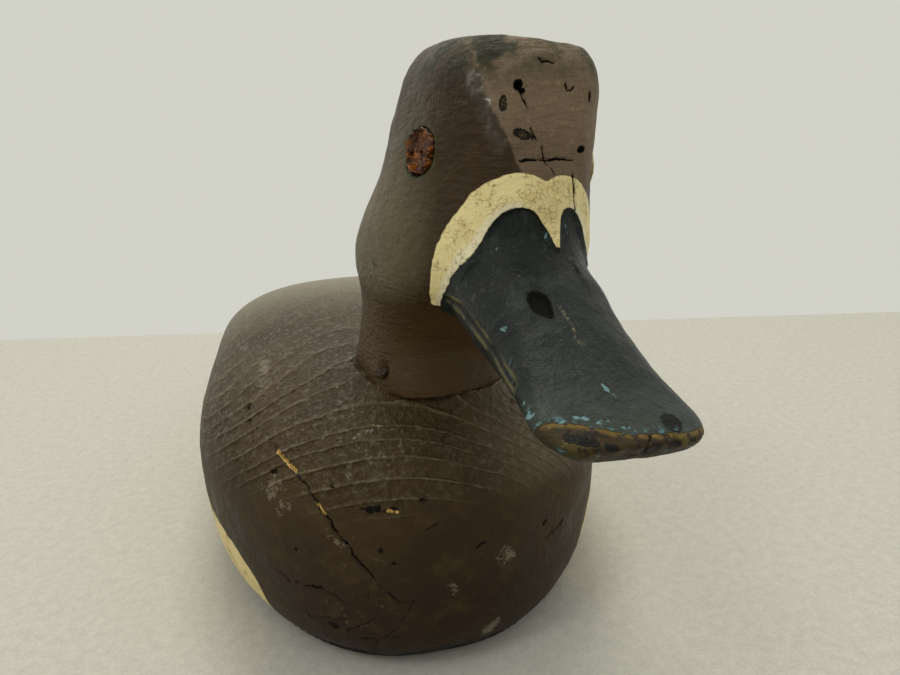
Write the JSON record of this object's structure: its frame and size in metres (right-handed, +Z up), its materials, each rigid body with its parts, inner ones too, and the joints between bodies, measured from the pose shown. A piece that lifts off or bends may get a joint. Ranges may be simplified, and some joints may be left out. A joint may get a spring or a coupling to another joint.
{
  "type": "duck decoy",
  "caption": "Carved wooden floating duck decoy with a turned head, glass eye, ballast bar and a swinging line ring under the breast.",
  "frame": {"origin": "on the rest plane, under the middle of the body's length and width", "axes": "+Z up; the body's breast faces -Y and its tail +Y; +X is the duck's left. The body is symmetric about X = 0; the head is turned and leans to +X"},
  "size_m": [0.1622, 0.3893, 0.189],
  "materials": {
    "body_wood": "satin",
    "head_wood": "satin",
    "dowel_wood": "matte",
    "nail_steel": "matte",
    "eye_glass": "gloss",
    "shank_wire": "satin",
    "left_putty": "matte",
    "right_putty": "satin",
    "ballast_lead": "matte",
    "screw_brass": "satin",
    "staple_brass": "satin",
    "ring_brass": "satin"
  },
  "bodies": {
    "decoy": {"body_block": "body_wood", "head_block": "head_wood", "neck_dowel": "dowel_wood", "neck_nails": "nail_steel", "left_eye_glass": "eye_glass", "left_eye_shank": "shank_wire", "left_eye_putty": "left_putty", "right_eye_putty": "right_putty", "ballast_bar": "ballast_lead", "ballast_screws": "screw_brass", "tie_staple": "staple_brass"},
    "ring": {"tie_ring": "ring_brass"}
  },
  "joints": [
    {"name": "ring_swing", "type": "hinge", "parent": "decoy", "child": "ring", "pos_m": [0, -0.12, 0.005], "axis": [-1, 0, 0], "range_deg": [0, 115]}
  ]
}
